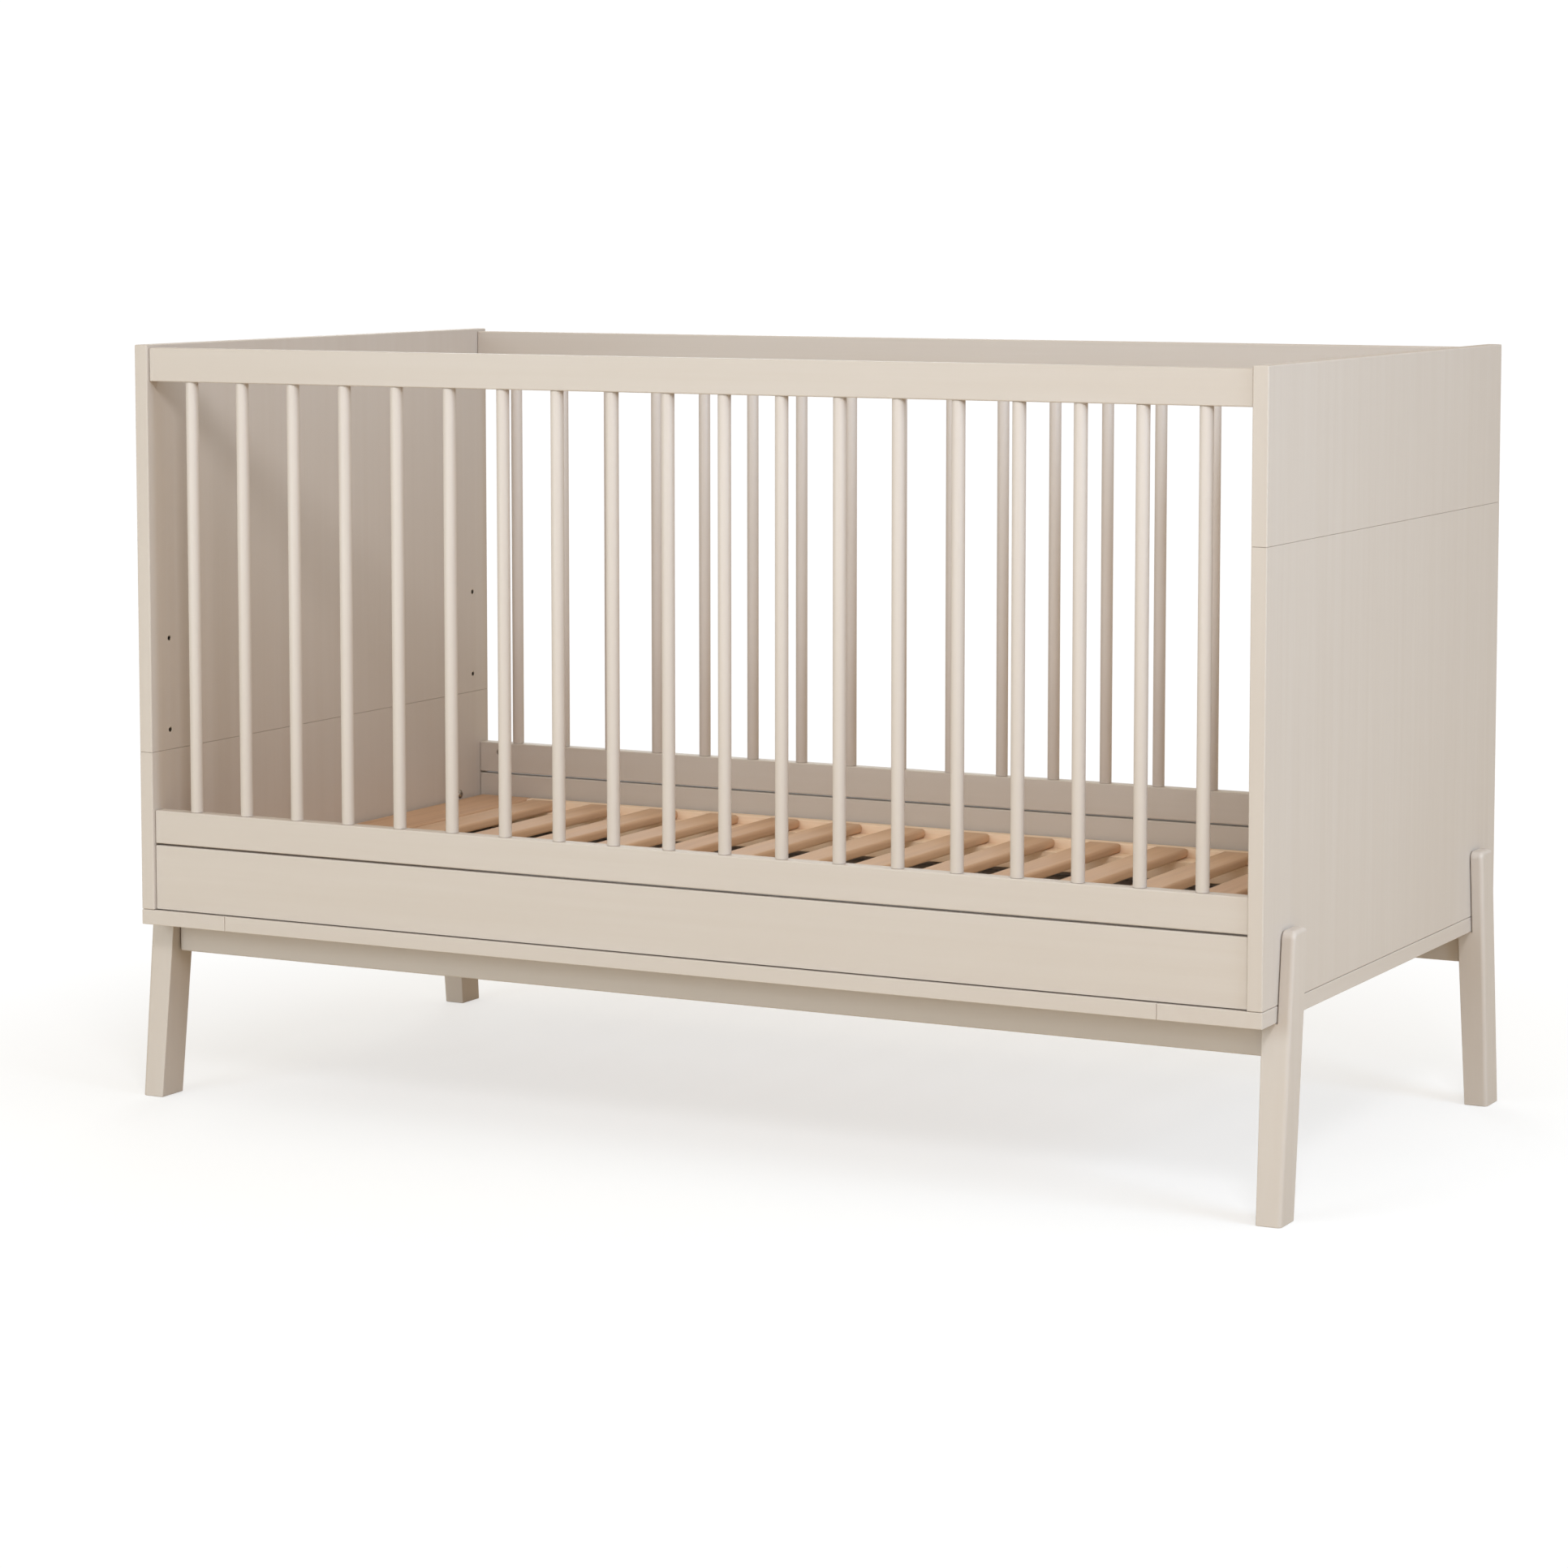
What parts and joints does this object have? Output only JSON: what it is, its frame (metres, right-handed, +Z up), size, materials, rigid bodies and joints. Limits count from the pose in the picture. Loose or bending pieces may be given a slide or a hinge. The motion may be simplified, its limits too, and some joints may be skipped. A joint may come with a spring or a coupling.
{
  "type": "baby crib",
  "caption": "Convertible cot bed with split solid end panels, barred long sides over aprons, splayed legs joined by stretchers, and a slatted mattress base whose height is adjustable.",
  "frame": {"origin": "on the floor, under the middle of the crib", "axes": "+X along the crib from the foot end to the head end, +Y from the front side to the rear side, +Z up"},
  "size_m": [1.472, 0.77, 0.913],
  "materials": {
    "panel_paint": "satin cream lacquer on board",
    "bar_paint": "satin cream lacquer on turned solid wood",
    "raw_wood": "untreated planed pine",
    "steel": "zinc-plated steel"
  },
  "bodies": {
    "crib_frame": {"foot_panel_lower": "panel_paint", "foot_panel_upper": "panel_paint", "head_panel_lower": "panel_paint", "head_panel_upper": "panel_paint", "front_top_rail": "panel_paint", "rear_top_rail": "panel_paint", "front_bottom_rail": "panel_paint", "rear_bottom_rail": "panel_paint", "front_apron": "panel_paint", "rear_apron": "panel_paint", "base_frame": "panel_paint", "front_stretcher": "panel_paint", "rear_stretcher": "panel_paint", "leg_foot_front": "panel_paint", "leg_foot_rear": "panel_paint", "leg_head_front": "panel_paint", "leg_head_rear": "panel_paint", "front_bar_01": "bar_paint", "front_bar_02": "bar_paint", "front_bar_03": "bar_paint", "front_bar_04": "bar_paint", "front_bar_05": "bar_paint", "front_bar_06": "bar_paint", "front_bar_07": "bar_paint", "front_bar_08": "bar_paint", "front_bar_09": "bar_paint", "front_bar_10": "bar_paint", "front_bar_11": "bar_paint", "front_bar_12": "bar_paint", "front_bar_13": "bar_paint", "front_bar_14": "bar_paint", "front_bar_15": "bar_paint", "front_bar_16": "bar_paint", "front_bar_17": "bar_paint", "front_bar_18": "bar_paint", "front_bar_19": "bar_paint", "rear_bar_01": "bar_paint", "rear_bar_02": "bar_paint", "rear_bar_03": "bar_paint", "rear_bar_04": "bar_paint", "rear_bar_05": "bar_paint", "rear_bar_06": "bar_paint", "rear_bar_07": "bar_paint", "rear_bar_08": "bar_paint", "rear_bar_09": "bar_paint", "rear_bar_10": "bar_paint", "rear_bar_11": "bar_paint", "rear_bar_12": "bar_paint", "rear_bar_13": "bar_paint", "rear_bar_14": "bar_paint", "rear_bar_15": "bar_paint", "rear_bar_16": "bar_paint", "rear_bar_17": "bar_paint", "rear_bar_18": "bar_paint", "rear_bar_19": "bar_paint", "support_pin_foot_front": "steel", "support_pin_foot_rear": "steel", "support_pin_head_front": "steel", "support_pin_head_rear": "steel"},
    "mattress_base": {"slat_base": "raw_wood"}
  },
  "joints": [
    {"name": "mattress_base_height", "type": "slide", "parent": "crib_frame", "child": "mattress_base", "axis": [0, 0, 1], "range_m": [0, 0.2943]}
  ]
}
